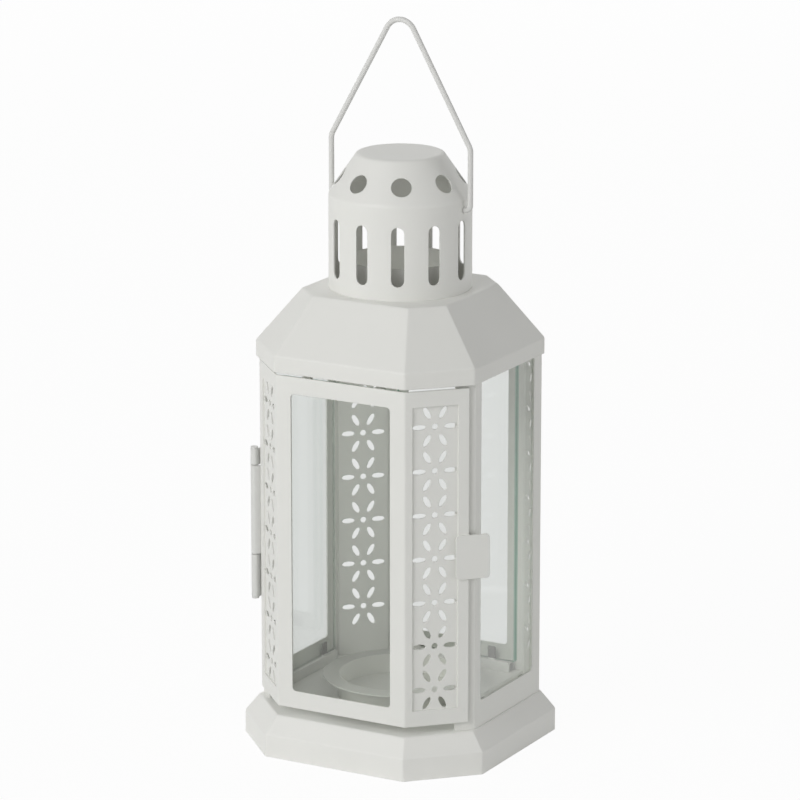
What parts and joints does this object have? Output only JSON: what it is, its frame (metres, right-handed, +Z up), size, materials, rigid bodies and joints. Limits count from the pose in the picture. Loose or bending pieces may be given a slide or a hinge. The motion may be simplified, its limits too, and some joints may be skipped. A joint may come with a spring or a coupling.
{
  "type": "candle lantern",
  "caption": "Eight-sided sheet-metal candle lantern with glass panes, punched flower corners, a hinged front door, a slotted chimney and a wire bail.",
  "frame": {"origin": "middle of the base's rest plane", "axes": "+Z up along the lantern's axis; the door faces -Y and its hinge is on -X"},
  "size_m": [0.1002, 0.1002, 0.2692],
  "materials": {
    "white_coat": "satin white powder coat",
    "white_wire": "satin white powder coat on steel wire",
    "clear_glass": "clear float glass"
  },
  "bodies": {
    "lantern_frame": {"base_pan": "white_coat", "candle_cup": "white_coat", "left_panel": "white_coat", "rear_panel": "white_coat", "right_panel": "white_coat", "rear_left_corner_plate": "white_coat", "rear_right_corner_plate": "white_coat", "left_glass_ledge": "white_coat", "rear_glass_ledge": "white_coat", "right_glass_ledge": "white_coat", "roof": "white_coat", "chimney": "white_coat", "hinge_frame_leaf": "white_coat", "left_glass": "clear_glass", "rear_glass": "clear_glass", "right_glass": "clear_glass", "hinge_pin": "white_wire"},
    "door": {"door_panel": "white_coat", "door_left_corner_plate": "white_coat", "door_right_corner_plate": "white_coat", "door_glass": "clear_glass", "hinge_door_leaf": "white_coat", "latch_tab": "white_coat"},
    "bail": {"bail": "white_wire"}
  },
  "joints": [
    {"name": "door_hinge", "type": "hinge", "parent": "lantern_frame", "child": "door", "pos_m": [-0.04616, -0.02719, 0.08115], "axis": [0, 0, -1], "range_deg": [0, 220]},
    {"name": "bail_swing", "type": "hinge", "parent": "lantern_frame", "child": "bail", "pos_m": [0, 0, 0.2012], "axis": [1, 0, 0], "range_deg": [-130, 130]}
  ]
}
